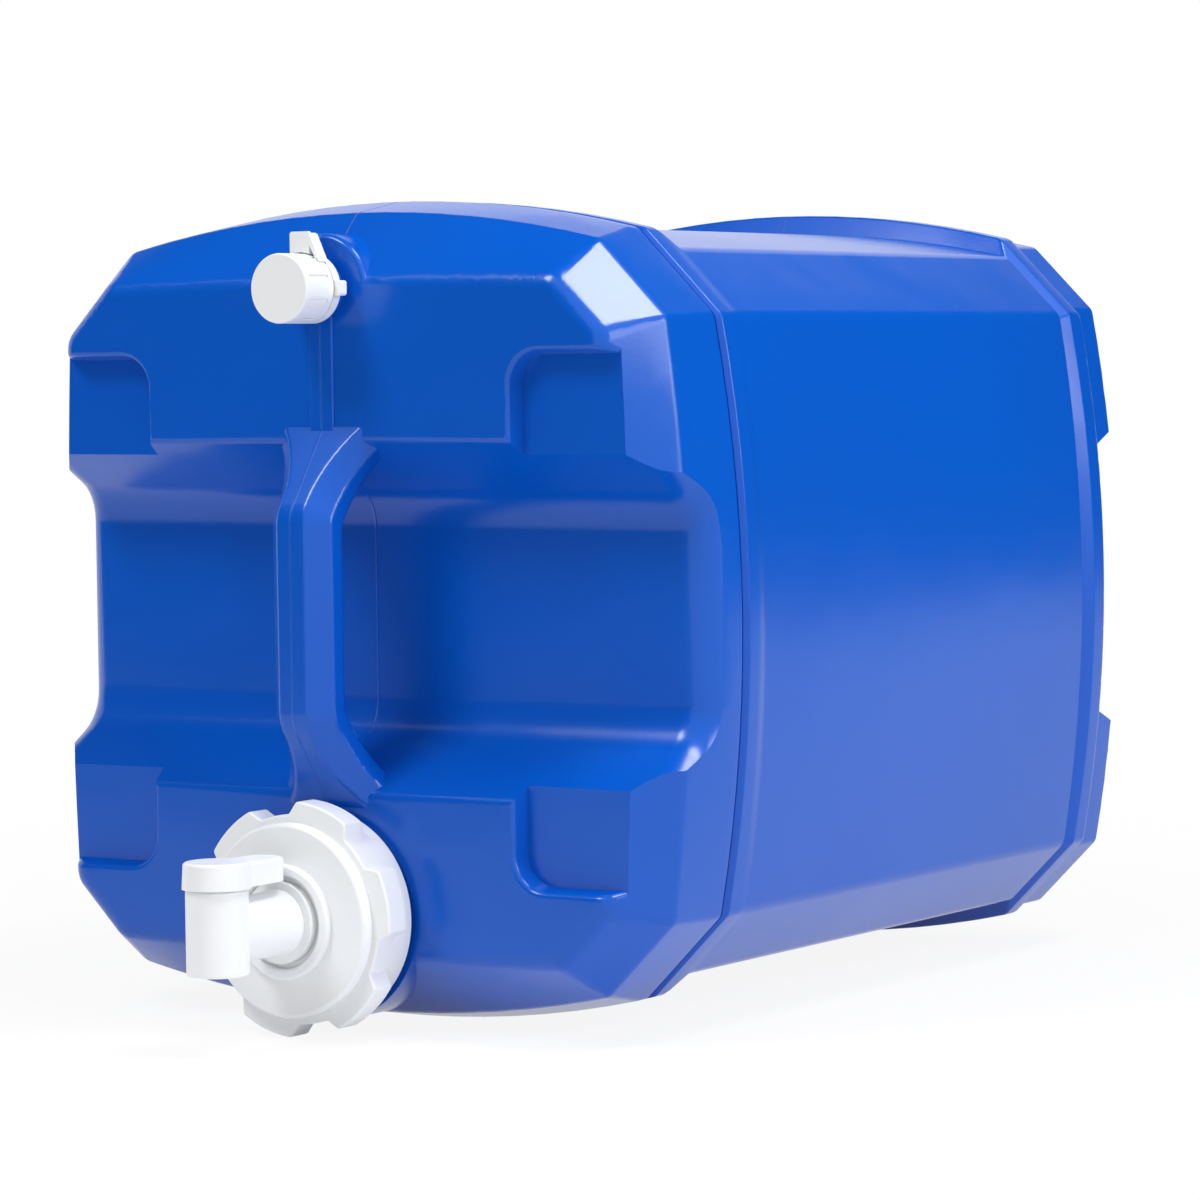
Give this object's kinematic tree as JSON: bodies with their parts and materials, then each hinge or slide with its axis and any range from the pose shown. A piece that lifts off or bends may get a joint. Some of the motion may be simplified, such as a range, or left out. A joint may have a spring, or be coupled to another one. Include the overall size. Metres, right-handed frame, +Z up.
{
  "type": "water container with tap",
  "caption": "Stackable blow moulded water container lying on its side, with a carrying handle across its channel, a lobed screw closure with a quarter turn tap, and a small vent cap.",
  "frame": {"origin": "under the middle of the outline, on the level that the two hoops rest on", "axes": "+Z up as the container lies to pour, -Y the way the tap points, +X to the right of someone facing the tap"},
  "size_m": [0.2724, 0.4128, 0.2866],
  "materials": {
    "blue_polyethylene": "semi-gloss blow moulded",
    "white_plastic": "semi-gloss moulded",
    "seal_rubber": "matte",
    "seal_foam": "matte"
  },
  "bodies": {
    "container": {"container_body": "blue_polyethylene", "vent_tamper_band": "white_plastic"},
    "closure_seal": {"main_cap_gasket": "seal_rubber"},
    "closure": {"main_cap": "white_plastic"},
    "tap": {"tap_body": "white_plastic", "tap_washer": "seal_rubber", "tap_nut": "white_plastic"},
    "tap_valve": {"tap_plug": "white_plastic"},
    "vent_seal": {"vent_cap_liner": "seal_foam"},
    "vent_closure": {"vent_cap": "white_plastic"}
  },
  "joints": [
    {"name": "closure_lift", "type": "slide", "parent": "container", "child": "closure_seal", "axis": [0, -1, 0], "range_m": [0, 0.021]},
    {"name": "closure_turn", "type": "hinge", "parent": "closure_seal", "child": "closure", "pos_m": [0, -0.1516, 0.0411], "axis": [0, -1, 0], "range_deg": [0, 1260]},
    {"name": "tap_swivel", "type": "hinge", "parent": "closure_seal", "child": "tap", "pos_m": [0, -0.1616, 0.0411], "axis": [0, -1, 0], "continuous": true},
    {"name": "tap_turn", "type": "hinge", "parent": "tap", "child": "tap_valve", "pos_m": [0, -0.1947, 0.0411], "axis": [0, 0, 1], "range_deg": [0, 90]},
    {"name": "vent_lift", "type": "slide", "parent": "container", "child": "vent_seal", "axis": [0, -1, 0], "range_m": [0, 0.0144]},
    {"name": "vent_turn", "type": "hinge", "parent": "vent_seal", "child": "vent_closure", "pos_m": [0, -0.1466, 0.2559], "axis": [0, -1, 0], "range_deg": [0, 1296]}
  ],
  "couplings": [
    {"joint": "closure_lift", "follows": "closure_turn", "m_per_rad": 0.00095493},
    {"joint": "vent_lift", "follows": "vent_turn", "m_per_rad": 0.00063662}
  ]
}
